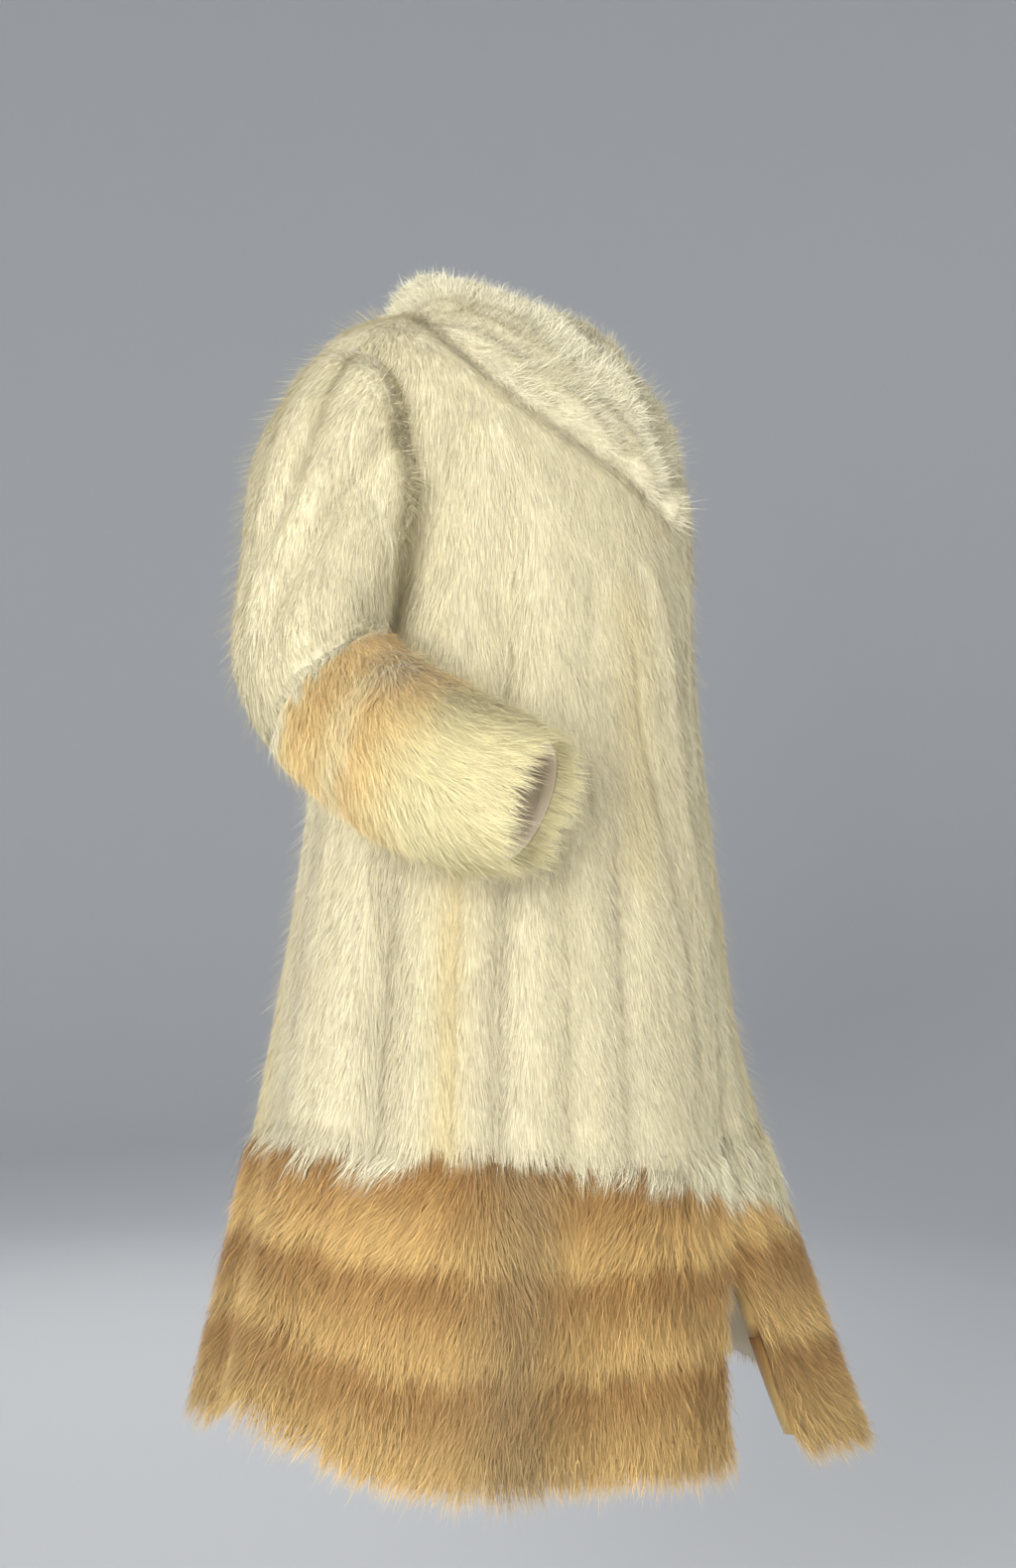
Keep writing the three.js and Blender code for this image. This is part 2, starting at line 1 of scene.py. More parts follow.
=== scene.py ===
import math
import bpy
import numpy as np
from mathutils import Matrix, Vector


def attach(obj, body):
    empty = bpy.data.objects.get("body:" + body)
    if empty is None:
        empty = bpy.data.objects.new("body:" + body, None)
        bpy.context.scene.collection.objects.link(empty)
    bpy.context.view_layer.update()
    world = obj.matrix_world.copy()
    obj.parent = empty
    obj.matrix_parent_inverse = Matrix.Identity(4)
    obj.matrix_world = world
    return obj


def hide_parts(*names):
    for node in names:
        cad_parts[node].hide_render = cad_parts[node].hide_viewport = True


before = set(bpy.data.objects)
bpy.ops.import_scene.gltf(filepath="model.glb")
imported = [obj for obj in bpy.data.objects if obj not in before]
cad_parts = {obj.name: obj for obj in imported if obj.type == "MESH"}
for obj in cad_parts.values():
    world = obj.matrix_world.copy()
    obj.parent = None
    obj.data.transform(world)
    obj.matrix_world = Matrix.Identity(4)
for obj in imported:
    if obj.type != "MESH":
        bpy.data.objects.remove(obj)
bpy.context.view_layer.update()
print("frame loaded")

# sizes, in millimetres as in the cut

coat = {
    "leather": 2.5,
    "lapDepth": 24,
    "lapStart": 6,
    "lapFade": 52,
    "armpitUp": 720,
    "shoulderUp": 875,
    "neckUp": 990,
    "armholeFore": 14,
    "armholeAft": 30,
    "armholePoint": 1.6,
    "rowLean": 1.6,
    "hemTop": 240,
    "ringStep": 21,
    "sleeveSides": 32,
    "rimShare": 0.55,
    "sleeveRimShare": 0.4,
}

# rings round the body, up from the hem
body = {
    "up": [-15, 0, 80, 160, 240, 380, 494, 588, 664, 720, 780, 830, 875, 915, 955, 990],
    "zFront": [-941, -927, -848, -768, -689, -553, -442, -352, -290, -251, -221, -201, -187, -178, -171, -165],
    "zSide": [-922, -908, -831, -753, -677, -541, -431, -339, -267, -212, -150, -93, -46, -25, -11, -1],
    "zBack": [-946, -932, -852, -772, -693, -555, -442, -344, -267, -208, -145, -93, -44, -21, -3, 6],
    "right": [256, 254, 244, 233, 222, 202, 184, 171, 164, 165, 175, 181, 179, 153, 112, 78],
    "left": [276, 273, 260, 246, 232, 208, 188, 173, 165, 165, 175, 181, 179, 153, 112, 78],
    "front": [218, 216, 209, 202, 195, 182, 171, 163, 160, 159, 157, 155, 153, 151, 149, 147],
    "back": [238, 235, 218, 201, 186, 162, 143, 129, 121, 118, 117, 114, 108, 103, 94, 83],
    "lag": [0, 0, 0, 1, 2, 3, 5, 8, 11, 14, 17, 20, 22, 17, 11, 6],
    "rightEdge": [-24, -22, -14, -4, 6, 18, 24, 26, 27, 28, 28, 28, 27, 26, 24, 22],
    "leftEdge": [82, 76, 48, 20, -5, -24, -28, -28, -28, -28, -28, -28, -28, -27, -25, -23],
    "vee": [0, 0, 0, 0, 0, 0, 0, 0, 0, 0, 0.05, 0.12, 0.22, 0.34, 0.44, 0.5],
}

# soft flutes in the skirt: where, how wide in degrees, how deep, how far the hem drops, and their top
flutes = {
    "angle": [-160, -131, -113, -104, -80, -58, -42, -37, -18, 40, 84, 112, 140, 172],
    "spread": [17, 15, 24, 13, 9, 10, 26, 8, 9, 22, 13, 14, 13, 13],
    "depth": [22, -34, 10, 8, -8, 9, 0, -9, 6, 88, -16, 14, -20, 10],
    "drop": [0, 0, -44, 0, 0, 0, -9, 0, 0, 52, 0, 0, 0, 0],
    "top": [600, 570, 300, 530, 490, 530, 300, 570, 490, 350, 530, 570, 550, 590],
}

# soft folds in the chest and back
drapes = {
    "angle": [-57, -44, 52, 140, -142],
    "up": [655, 685, 665, 700, 690],
    "spread": [7, 6, 8, 10, 9],
    "length": [110, 120, 110, 120, 110],
    "lean": [0.03, 0.02, -0.02, 0, 0],
    "depth": [-6, 4, -5, -5, -5],
}

# rings down each sleeve, and its folds
bentSleeve = {
    "side": -1,
    "along": [38, 70, 108, 148, 192, 236, 286, 338, 392, 443],
    "out": [199, 215, 227, 237, 247, 254, 256, 252, 242, 230],
    "y": [27, 33, 34, 33, 24, 0, -38, -78, -117, -154],
    "z": [-143, -174, -211, -252, -292, -321, -345, -369, -388, -402],
    "away": [86, 82, 72, 58, 50, 50, 54, 56, 52, 43],
    "near": [84, 84, 76, 59, 50, 47, 47, 47, 45, 40],
    "fore": [60, 57, 53, 50, 50, 51, 51, 52, 50, 45],
    "aft": [62, 59, 54, 50, 52, 54, 56, 58, 55, 46],
    "lift": [81, 72, 60, 42, 16, 0, 0, 0, 0, 0],
    "folds": {
        "along": [80, 105, 205, 226, 250, 150],
        "around": [14, 49, 70, 95, 88, 300],
        "length": [70, 65, 45, 14, 12, 60],
        "width": [16, 15, 22, 38, 30, 20],
        "turn": [-0.1, -0.5, 0.3, 0, 0, -0.3],
        "depth": [-5, -7, 6, -11, 6, -5],
    },
}
hangingSleeve = {
    "side": 1,
    "along": [38, 70, 108, 148, 195, 250, 320, 385, 443],
    "out": [201, 218, 230, 240, 247, 255, 265, 275, 284],
    "y": [27, 31, 32, 32, 29, 21, 8, -7, -23],
    "z": [-142, -173, -212, -257, -308, -364, -433, -496, -552],
    "away": [86, 83, 76, 62, 52, 51, 54, 53, 43],
    "near": [83, 83, 76, 60, 50, 47, 47, 46, 41],
    "fore": [60, 58, 55, 52, 50, 51, 55, 54, 44],
    "aft": [61, 60, 56, 53, 53, 54, 56, 55, 44],
    "lift": [80, 70, 60, 40, 16, 2, 0, 0, 0],
    "folds": {
        "along": [150, 235, 190],
        "around": [60, 90, 290],
        "length": [60, 18, 60],
        "width": [22, 40, 24],
        "turn": [0.3, 0, -0.3],
        "depth": [-6, -6, -5],
    },
}
sleeveEnds = {"sleeve": 237, "sleeve_tan_upper": 288, "sleeve_stripe": 310, "sleeve_tan_lower": 362,
              "cuff": 443}

collar = {"at": [0, 1, 2, 3], "inward": [0, 13, 26, 38], "proud": [0, 5, 6, 2], "end": 0.3, "taper": 95,
          "stand": 0.95, "thin": 10, "pile": 16}


# one column of a table between its rows: a cubic through the rows, whose slope at each row is that
# of the chord between its two neighbours
def readTable(table, column, at, key="up"):
    x = np.array(table[key], float)
    y = np.array(table[column], float)
    at = np.asarray(at, float)
    i = np.clip(np.searchsorted(x, at) - 1, 0, len(x) - 2)
    rows = np.arange(len(x))
    before = np.maximum(rows - 1, 0)
    after = np.minimum(rows + 1, len(x) - 1)
    slope = (y[after] - y[before]) / (x[after] - x[before])
    step = x[i + 1] - x[i]
    t = (at - x[i]) / step
    bend = slope[i] * step * (1 - t) - slope[i + 1] * step * t
    return y[i] + (y[i + 1] - y[i]) * t * t * (3 - 2 * t) + bend * t * (1 - t)


def ease(value):  # 3t^2 - 2t^3 between 0 and 1
    t = np.clip(value, 0, 1)
    return t * t * (3 - 2 * t)


def bell(distance, reach):  # e to the minus square of the distance in reaches
    return np.exp(-((distance / reach) ** 2))


def unit(vectors):
    return vectors / np.maximum(np.linalg.norm(vectors, axis=-1, keepdims=True), 1e-9)


def degreesApart(a, b):
    return (a - b + 180) % 360 - 180


def edgeSine(hand, up):  # the sine of the angle at which a free front edge stands
    x = readTable(body, "leftEdge" if hand > 0 else "rightEdge", up)
    return x / np.where(x > 0, readTable(body, "left", up), readTable(body, "right", up))


# the leather of the body at an angle from the front and a height: an ellipse in quarters, whose
# height falls from side to front as the square of the cosine, or straight where the neckline is,
# moved out by each flute's and drape's bell
def bodyPoint(angle, up, hand):
    turned = degreesApart(angle, 0)
    side, ahead = np.sin(np.radians(turned)), np.cos(np.radians(turned))
    edge = edgeSine(hand, up) if hand else 0
    straight = readTable(body, "vee", up) if hand else 0
    fall = (1 - straight) * ahead**2 + straight * (1 - np.abs(side - edge) / (1 + np.abs(edge)))
    zSide = readTable(body, "zSide", up)
    zEnd = np.where(ahead > 0, readTable(body, "zFront", up), readTable(body, "zBack", up))
    x = side * np.where(side > 0, readTable(body, "left", up), readTable(body, "right", up))
    y = readTable(body, "lag", up) * side**2
    y = y - ahead * np.where(ahead > 0, readTable(body, "front", up), readTable(body, "back", up))
    z = zSide + (zEnd - zSide) * fall
    for middle, spread, depth, drop, top in zip(*flutes.values()):
        share = np.clip(1 - up / top, 0, 1) ** 1.4 * bell(degreesApart(turned, middle), spread)
        x, y, z = x + side * depth * share, y - ahead * depth * share, z - drop * share
    for middle, height, spread, length, lean, depth in zip(*drapes.values()):
        apart = degreesApart(turned, middle + lean * (up - height))
        share = depth * bell(apart, spread) * bell(up - height, length)
        x, y = x + side * share, y - ahead * share
    return np.stack([x, y, z], -1)


def lapShare(x, up):  # 1 where the left front lies under the right one, 0 clear of it
    past = x - readTable(body, "rightEdge", up) - coat["lapStart"]
    return 1 - ease(past / (coat["lapFade"] - coat["lapStart"]))


# the rows of a panel, numbered from -9 at the hem by 0 at the top of the bands, 11 at the armpit and
# 19 at the shoulder to 23 at the neck: the height in the middle, at the side, and the turn round
# the armhole
def rowHeights(row):
    top, pit, tip, neck = coat["hemTop"], coat["armpitUp"], coat["shoulderUp"], coat["neckUp"]
    level = np.interp(row, [-9, 0, 11, 19, 23], [0, top, pit, tip, neck])
    turn = np.pi * np.clip((row - 11) / 8, 0, 1)
    side = np.where((row > 11) & (row < 19), (pit + tip) / 2 - (tip - pit) / 2 * np.cos(turn), level)
    lean = top + (neck - top) * np.maximum((level - top) / (neck - top), 0) ** coat["rowLean"]
    return np.where(row > 0, lean, level), side, turn


def bow(turn):  # how far an armhole's edge lies from the side seam, as a share of its widest
    s = np.sin(turn)
    return np.sign(s) * np.abs(s) ** coat["armholePoint"]


def frontPoint(row, across, hand):  # across is 0 at the free edge and 1 at the side seam
    middle, atSide, turn = rowHeights(row)
    start = np.degrees(np.arcsin(edgeSine(hand, middle)))
    angle = start + (hand * (90 - coat["armholeFore"] * bow(turn)) - start) * across
    up = middle + (atSide - middle) * ease(across)
    point = bodyPoint(angle, up, hand)
    if hand > 0:
        inward = np.stack([-np.sin(np.radians(angle)), np.cos(np.radians(angle)), 0 * angle], -1)
        point = point + inward * (coat["lapDepth"] * lapShare(point[..., 0], up))[..., None]
    return point, angle, up


def backPoint(row, across):  # from the right side seam to the left one
    middle, atSide, turn = rowHeights(row)
    share = 1 - 2 * across
    angle = 180 + (90 - coat["armholeAft"] * bow(turn)) * share
    up = middle + (atSide - middle) * ease(np.abs(share))
    return bodyPoint(angle, up, 0), angle, up


def armholePoint(side, turn):  # from the shoulder down the front and up the back
    pit, tip = coat["armpitUp"], coat["shoulderUp"]
    up = (pit + tip) / 2 + (tip - pit) / 2 * np.cos(turn)
    fore = bodyPoint(side * (90 - coat["armholeFore"] * bow(turn)), up, side)
    aft = bodyPoint(side * (90 - coat["armholeAft"] * bow(turn)), up, 0)
    return np.where((turn <= np.pi)[..., None], fore, aft)


# the leather of a sleeve: an ellipse in quarters square to the sleeve's run, its outer side turned
# up by the lift, swollen by the folds, and joined straight to the armhole above the first ring
def sleevePoint(table, along, turn):
    side, first, last = table["side"], table["along"][0], table["along"][-1]
    read = lambda column, at: readTable(table, column, at, "along")
    centre = lambda at: np.stack([side * read("out", at), read("y", at), read("z", at)], -1)
    place = np.clip(along, first, last)
    run = centre(np.minimum(place + 6, last)) - centre(np.maximum(place - 6, first))
    lift = np.radians(read("lift", place))
    away = np.stack([side * np.cos(lift), 0 * lift, np.sin(lift)], -1)
    fore = unit(np.cross(run, away) * side)
    across, ahead = np.cos(turn), np.sin(turn)
    swell = 0
    for foldAlong, around, length, width, twist, depth in zip(*table["folds"].values()):
        apart = degreesApart(np.degrees(turn), around + twist * (place - foldAlong))
        swell = swell + depth * bell(apart, width) * bell(place - foldAlong, length)
    reachOut = across * (np.where(across > 0, read("away", place), read("near", place)) + swell)
    reachFore = ahead * (np.where(ahead > 0, read("fore", place), read("aft", place)) + swell)
    point = centre(place) + away * reachOut[..., None] + fore * reachFore[..., None]
    share = np.clip(along / first, 0, 1)[..., None]
    return armholePoint(side, turn) * (1 - share) + point * share


# a panel's grid from row to row, with so many steps for each step of the solids. Its arc is the mm that
# a degree takes, as in the other grids
def panelGrid(kind, hand, low, high, steps=2):
    columns = (34 if kind == "back" else 20) * steps + 1
    rows = np.linspace(low, high, (high - low) * steps + 1)
    row, across = np.meshgrid(rows, np.linspace(0, 1, columns), indexing="ij")
    point, angle, up = backPoint(row, across) if kind == "back" else frontPoint(row, across, hand)
    return {"point": point, "angle": angle, "up": up, "closed": False, "nap": 0, "arc": 2.9}


def sleeveGrid(table, start, end, steps=2):
    rows = max(1, round((end - max(start, table["along"][0])) / coat["ringStep"])) + (start == 0)
    along = np.linspace(start, end, rows * steps + 1)
    turn = np.linspace(0, 2 * np.pi, coat["sleeveSides"] * steps // 2 + 1)
    along, turn = np.meshgrid(along, turn, indexing="ij")
    point = sleevePoint(table, along, turn)
    grid = {"point": point, "angle": np.degrees(turn), "up": along, "closed": True, "nap": 1, "arc": 0.95}
    if start:
        grid["droop"] = np.interp(along, forearm["along"], forearm["droop"])
    return grid


# the neck seam and the row below it, from the right front's edge by the nape to the left front's
def neckSeam(row):
    front = np.linspace(0, 1, 41)
    back = np.linspace(0, 1, 69)
    right = frontPoint(row + 0 * front, front, -1)[0]
    nape = backPoint(row + 0 * back, back)[0]
    left = frontPoint(row + 0 * front, front, 1)[0]
    return np.concatenate([right, nape[1:], left[::-1][1:]])


# the collar: from each point of the seam it runs on over the shoulder, standing up more towards the
# nape, on a smooth profile of its distance inwards and its height over the hair
def collarGrid(first, last):
    seam, below = neckSeam(23.0), neckSeam(22.0)
    ends = np.stack([seam[0], seam[-1]])
    full = ease(np.linalg.norm(seam[:, None] - ends[None], axis=-1).min(1) / collar["taper"])
    width = collar["end"] + (1 - collar["end"]) * full
    tangent = unit(np.gradient(seam, axis=0))
    onward = seam - below
    onward = unit(onward - tangent * (onward * tangent).sum(-1, keepdims=True))
    onward[:, 2] += collar["stand"] * ease((seam[:, 1] + 60) / 130)
    onward = unit(onward)
    proud = unit(np.cross(onward, tangent))
    proud *= np.sign((proud[:, :2] * seam[:, :2]).sum(-1, keepdims=True))
    at = np.linspace(0, 3, 3 * 4 + 1)
    inward = readTable(collar, "inward", at, "at")[:, None, None]
    height = readTable(collar, "proud", at, "at")[:, None, None]
    point = seam + (onward * inward + proud * height) * width[None, :, None]
    cut = slice(first * 2, last * 2 + 1)
    thin = collar["thin"] * (1 - full[cut]) / collar["pile"]
    grid = {"point": point[:, cut], "closed": False, "nap": 1}
    grid["angle"] = np.broadcast_to(np.linspace(0, 1, thin.size), point[:, cut].shape[:2])
    grid["up"] = np.broadcast_to(at[:, None], point[:, cut].shape[:2])
    rolled = np.linalg.norm(seam - seam[:1], axis=-1)[cut]  # lumps along the roll
    lumps = 0.22 * np.sin(rolled / 7 + at[:, None]) * np.sin(rolled / 17 + 2 * at[:, None]) - 0.05 * at[:, None]
    grid["thin"] = 1 - np.broadcast_to(thin, point[:, cut].shape[:2]) + lumps
    grid["arc"] = 1
    return grid


# the share of the hair's height that is left near an armhole's seam, less of it towards the armpit, and
# in the crook of the elbow: 1 minus the deepest of the three, each of which fades over its reach
pressing = {"armpit": 0.75, "armpitReach": 34, "armpitFrom": 80, "armpitOver": 110,
            "seam": 0.2, "seamReach": 12, "crook": 0.6, "crookReach": 36}
turns = np.linspace(0, 2 * np.pi, 121)[:-1]
armholeSeams = np.concatenate([armholePoint(-1, turns), armholePoint(1, turns)])
shoulders = np.stack([armholePoint(side, np.array([0.0]))[0] for side in (-1, 1)])
crook = sleevePoint(bentSleeve, np.full(9, 226.0), np.radians(np.linspace(45, 135, 9)))


def pressed(point):
    near = lambda places: np.linalg.norm(point[..., None, :] - places, axis=-1).min(-1)
    seam = near(armholeSeams)
    low = ease((near(shoulders) - pressing["armpitFrom"]) / pressing["armpitOver"])
    armpit = (1 - ease(seam / pressing["armpitReach"])) * (pressing["armpit"] * low)
    valley = pressing["seam"] * (1 - ease(seam / pressing["seamReach"]))
    bend = pressing["crook"] * (1 - ease(near(crook) / pressing["crookReach"]))
    return 1 - np.maximum(np.maximum(armpit, valley), bend)


# normals, the way the hair lies (along the rows' step, towards the hem or the cuff) and the way
# across it, from the differences between a grid's points
def finishGrid(grid, pile):
    point = grid["point"]
    padded = np.concatenate([point[:, -2:-1], point, point[:, 1:2]], 1) if grid["closed"] else point
    across = np.gradient(padded, axis=1)
    across = across[:, 1:-1] if grid["closed"] else across
    down = np.gradient(point, axis=0)
    normal = unit(np.cross(across, down))
    middle = point.mean(1, keepdims=True) if grid["closed"] else point * [0, 0, 1]
    if ((point - middle) * normal).sum() < 0:
        normal = -normal
    grid["normal"] = normal
    grid["down"] = unit(down) * grid["nap"]
    if grid["nap"] == 0:  # straight down the cloth
        grid["down"] = unit([0, 0, -1] + normal * normal[..., 2:])
    if "droop" in grid:  # the share by which it hangs instead of running along the sleeve
        hanging = unit([0, 0, -1] + normal * normal[..., 2:])
        grid["down"] = unit(unit(down) * (1 - grid["droop"][..., None]) + hanging * grid["droop"][..., None])
    grid["across"] = unit(np.cross(normal, grid["down"]))
    grid["height"] = pile * pressed(point) * grid.get("thin", 1)
    return grid


# creases and ridges: the points (angle, up or along) that each runs through, its depth
# in mm and its reach each way
upright = lambda angle, low, high: [(angle, low), (angle, high)]
creases = {
    "right_front": [
        ([(-60, 868), (-66, 820), (-72, 770), (-84, 690), (-88, 640)], -5, 12),
        ([(-52, 850), (-57, 790), (-66, 700), (-68, 610)], 4, 13),
        ([(-49, 800), (-53, 700), (-56, 600), (-55, 500)], -3, 9),
        ([(-30, 780), (-34, 640), (-33, 520)], -2.5, 10),
        ([(-12, 797), (-4, 661), (-2, 534), (6, 418)], 3, 9),
        ([(-19, 690), (-17, 603), (-4, 422), (-3, 320)], -3, 8),
        ([(-92, 950), (-73, 915), (-55, 893), (-41, 898), (-22, 922), (-5, 924), (24, 924)], -5, 9),
        (upright(-84, 240, 440), -6, 12), (upright(-74, 240, 520), 3, 10),
        (upright(-67, 250, 640), -2.5, 6), (upright(-57, 240, 470), -7, 11),
        (upright(-49, 240, 500), 3, 10), (upright(-41, 240, 620), -3, 8),
        (upright(-27, 240, 500), -5, 10),
    ],
    "left_front": [
        (upright(20, 250, 700), -2, 9), (upright(40, 250, 620), -2.5, 10), (upright(60, 250, 800), -2.5, 9),
        ([(58, 860), (66, 790), (80, 690)], -5, 12), (upright(80, 250, 560), -2, 9),
    ],
    "back": [
        (upright(103, 240, 640), -2, 9), (upright(122, 240, 800), -2.5, 9),
        (upright(141, 240, 760), -2, 10), (upright(160, 240, 880), -2.5, 9),
        (upright(180, 240, 930), -3, 8), (upright(-160, 240, 880), -2.5, 9),
        (upright(-141, 240, 760), -2, 10), (upright(-121, 240, 800), -2.5, 9),
        (upright(-103, 240, 640), -2, 9),
        ([(-148, 840), (-128, 760), (-112, 700)], -4, 12), ([(148, 840), (128, 760), (112, 700)], -4, 12),
    ],
    "right_sleeve": [
        ([(9, 0), (20, 71), (11, 118), (-22, 150)], -5, 11), ([(40, 20), (44, 80), (20, 130)], 3, 13),
        ([(79, 0), (68, 71), (34, 130), (8, 172)], -5, 11), ([(95, 90), (70, 150), (30, 196)], 3, 12),
        ([(102, 150), (78, 190), (46, 214), (20, 222)], -4, 9), ([(96, 205), (60, 226), (22, 234)], -3, 7),
        ([(-20, 60), (-30, 130), (-28, 180)], -3, 9), ([(300, 90), (286, 170)], -3, 9),
    ],
    "left_sleeve": [
        ([(20, 0), (30, 80), (14, 140), (-16, 170)], -4, 10), ([(80, 10), (66, 90), (36, 150)], -5, 10),
        ([(100, 170), (76, 210), (40, 232)], -4, 9), ([(300, 60), (286, 180)], -3, 11),
        ([(200, 120), (220, 200)], -3, 11),
    ],
}


# each grid point moves along its normal by the sum, over the creases, of depth times the bell of its
# distance to the nearest stretch of the line
def crease(grid, name):
    shift = np.zeros(grid["up"].shape)
    for line, depth, reach in creases.get(name, []):
        nearest = np.full(shift.shape, 1e9)
        for (angle, up), (nextAngle, nextUp) in zip(line, line[1:]):
            run = np.array([degreesApart(nextAngle, angle) * grid["arc"], nextUp - up])
            x, y = degreesApart(grid["angle"], angle) * grid["arc"], grid["up"] - up
            t = np.clip((x * run[0] + y * run[1]) / (run @ run), 0, 1)
            nearest = np.minimum(nearest, np.hypot(x - t * run[0], y - t * run[1]))
        shift += depth * bell(nearest, reach)
    if grid["closed"]:
        shift[:, -1] = shift[:, 0]
    grid["point"] = grid["point"] + grid["normal"] * shift[..., None]


def linear(red, green, blue):  # from screen values of 0 to 255 to the light they stand for
    c = np.array([red, green, blue]) / 255
    return np.where(c > 0.04045, ((c + 0.055) / 1.055) ** 2.4, c / 12.92)


dyes = {
    "cream": linear(235, 226, 192),
    "warm": linear(233, 214, 156),
    # painted shade for the fold valleys and pelt seams
    "paintedFoldShade": linear(210, 201, 172),
    "collar": linear(237, 229, 198),
    "brown": linear(162, 116, 60),
    "gold": linear(226, 190, 122),
    # the darker strips' own dye, also painted as shade along the seam under the border
    "strip": linear(130, 108, 76),
    "sleeveTan": linear(240, 217, 160),
    "sleeveBrown": linear(232, 202, 140),
    "stripe": linear(240, 226, 184),
    "cuff": linear(234, 223, 176),
}

# soft tones down the cream pelts, the warm ones their own and the grey ones painted shade along fold valleys
# and pelt seams: where, how wide, from what height to what height, which dye
peltTones = {
    "angle": [-68, -57, -85, -27, -20, 30, 75, 120, 165, -150, -115],
    "spread": [4, 5, 5, 5, 7, 8, 7, 9, 10, 9, 6],
    "low": [230, 230, 230, 260, 500, 240, 240, 240, 240, 240, 240],
    "high": [520, 560, 620, 700, 800, 560, 600, 560, 620, 560, 600],
    "dye": ["warm", "paintedFoldShade", "paintedFoldShade", "paintedFoldShade", "warm", "warm", "paintedFoldShade", "warm", "paintedFoldShade", "warm", "paintedFoldShade"],
    "share": [0.6, 0.75, 0.6, 0.4, 0.35, 0.4, 0.35, 0.4, 0.35, 0.45, 0.4],
}


forearm = {
    "along": [236, 266, 288, 299, 312, 335, 368, 443],
    "dye": ["sleeveTan", "sleeveBrown", "sleeveTan", "stripe", "sleeveBrown", "sleeveTan", "cuff", "cuff"],
    "droop": [0.7, 0.7, 0.7, 0.7, 0.65, 0.6, 0.4, 0],
}


def mix(a, b, share):
    return a + (b - a) * np.asarray(share)[..., None]


# how far up the tan hair starts, and where the border of the neckline starts, round the coat
tanTop = {
    "angle": [-180, -115, -106, -93, -85, -76, -71, -64, -56, -47,
              -36, -26, -13, -5, 8, 18, 26, 40, 60, 90, 180],
    "up": [240, 238, 241, 236, 233, 234, 250, 251, 249, 244,
           238, 233, 228, 215, 205, 200, 186, 178, 200, 232, 240],
}
border = {
    "angle": [-92, -73, -55, -41, -22, -5, 24, 60, 92],
    "up": [950, 915, 893, 898, 922, 924, 924, 915, 950],
    "fade": 24,
    "lead": 0.3,
}


def borderShare(grid):
    line = np.interp(degreesApart(grid["angle"], 0), border["angle"], border["up"])
    return ease((grid["up"] - line) / border["fade"] + border["lead"])


# the hem's three bands: how tall each is, how dark the hem is to the top, from what height all is full,
# the darker strips and how gold the tips are
bands = {"tall": 80, "darkest": 0.76, "fullUp": 200, "strips": [-53, 178], "stripReach": 8, "stripShare": 0.75,
         "golden": 0.25}
# how dark the roots of all hair are to their tips: painted shade deep in the pile, which the underfur skin
# takes too
paintedRootShade = {"tan": 0.74, "cream": 0.82, "forearm": 0.84}


def tanTones(grid):  # brown at the top of each band, gold at its foot, darker towards the hem
    up = np.minimum(grid["up"], 3 * bands["tall"] - 1)
    fall = 1 - (up / bands["tall"] - np.floor(np.clip(up / bands["tall"] - 1e-6, 0, 2)))
    colour = mix(np.zeros(grid["point"].shape) + dyes["brown"], dyes["gold"], ease(0.08 + 0.95 * fall))
    light = bands["darkest"] + (1 - bands["darkest"]) * np.clip(up / bands["fullUp"], 0, 1)
    colour = colour * light[..., None]
    strip = sum(bell(degreesApart(grid["angle"], middle), bands["stripReach"]) for middle in bands["strips"])
    colour = mix(colour, dyes["strip"], bands["stripShare"] * strip)
    return colour * paintedRootShade["tan"], mix(colour, dyes["gold"], bands["golden"])


def creamTones(grid):  # cream with the tones of its pelts, painted shade along folds and under the border, and the border's own
    colour = np.zeros(grid["point"].shape) + dyes["cream"]
    colour = mix(colour, dyes["collar"], grid.get("border", 0 * grid["up"]))
    for angle, spread, low, high, dye, share in zip(*peltTones.values()):
        reach = ease((grid["up"] - low + 60) / 60) * ease((high - grid["up"]) / 90)
        colour = mix(colour, dyes[dye], share * reach * bell(degreesApart(grid["angle"], angle), spread))
    if "border" in grid:  # painted shade along the seam under the border's roll
        colour = mix(colour, dyes["strip"], 0.4 * bell(grid["border"] - 0.4, 0.25))
    return colour * paintedRootShade["cream"], colour


def forearmTones(grid):  # straight steps between the dyes along the sleeve, browner underneath
    under = 9 * np.cos(np.radians(grid["angle"] - 250))
    shades = np.array([dyes[dye] for dye in forearm["dye"]])
    colour = np.stack([np.interp(grid["up"] - under, forearm["along"], shades[:, k]) for k in range(3)], -1)
    cream = np.zeros(colour.shape) + dyes["cream"]
    grid["excess"] = grid["up"] - 238 - 9 * np.cos(np.radians(grid["angle"] - 60))
    return cream * paintedRootShade["forearm"], cream, colour * paintedRootShade["forearm"], colour


# the hair's colour at its root, darkened by painted shade, and at its tip, and that of the other hair which
# grows where the grid's excess is over 0
def paint(kind, grid):
    plain = np.zeros(grid["point"].shape)
    if kind == "forearm":
        return forearmTones(grid)
    if kind in ("collar", "sleeve"):
        dye = dyes["collar" if kind == "collar" else "cream"]
        return plain + dye * paintedRootShade["cream"], plain + dye
    grid["excess"] = np.interp(degreesApart(grid["angle"], 0), tanTop["angle"], tanTop["up"]) - grid["up"]
    return creamTones(grid) + tanTones(grid)


